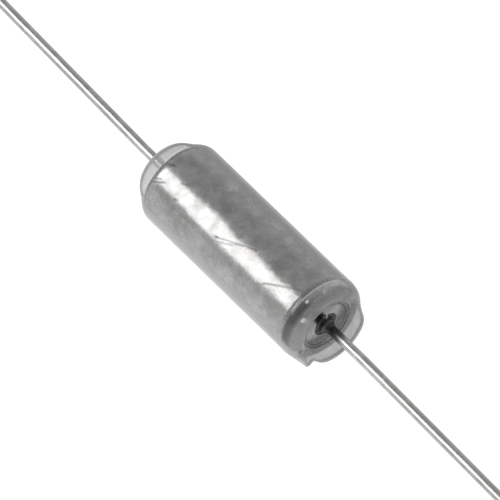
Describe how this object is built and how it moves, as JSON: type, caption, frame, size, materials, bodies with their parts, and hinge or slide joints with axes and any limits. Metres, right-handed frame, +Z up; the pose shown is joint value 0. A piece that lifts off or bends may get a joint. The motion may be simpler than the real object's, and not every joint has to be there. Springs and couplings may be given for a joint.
{
  "type": "tantalum capacitor",
  "caption": "Axial-lead tantalum capacitor in a drawn metal can with a glass-to-metal seal, under a clear shrunk film sleeve that curls past both ends.",
  "frame": {"origin": "middle of the can on its axis", "axes": "+X along the can's axis towards the positive end with the glass seal, +Z up as it lies"},
  "size_m": [0.0882, 0.0046, 0.0046],
  "materials": {
    "can_metal": "bright tinned, lightly mottled",
    "ring_metal": "matte grey",
    "tube_metal": "satin",
    "lead_metal": "tinned, drawn",
    "solder": "satin",
    "seal_glass": "dark, glossy",
    "riser_metal": "satin",
    "anode_coat": "matte, granular",
    "washer_white": "matte",
    "clear_film": "clear, creased"
  },
  "bodies": {
    "root": {"case": "can_metal", "seal_ring": "ring_metal", "glass_bead": "seal_glass", "seal_tube": "tube_metal", "tube_solder": "solder", "rim_solder": "solder", "positive_lead": "lead_metal", "riser_wire": "riser_metal", "anode_slug": "anode_coat", "anode_washer": "washer_white", "slug_solder": "solder", "negative_lead": "lead_metal", "sleeve": "clear_film"}
  },
  "joints": []
}
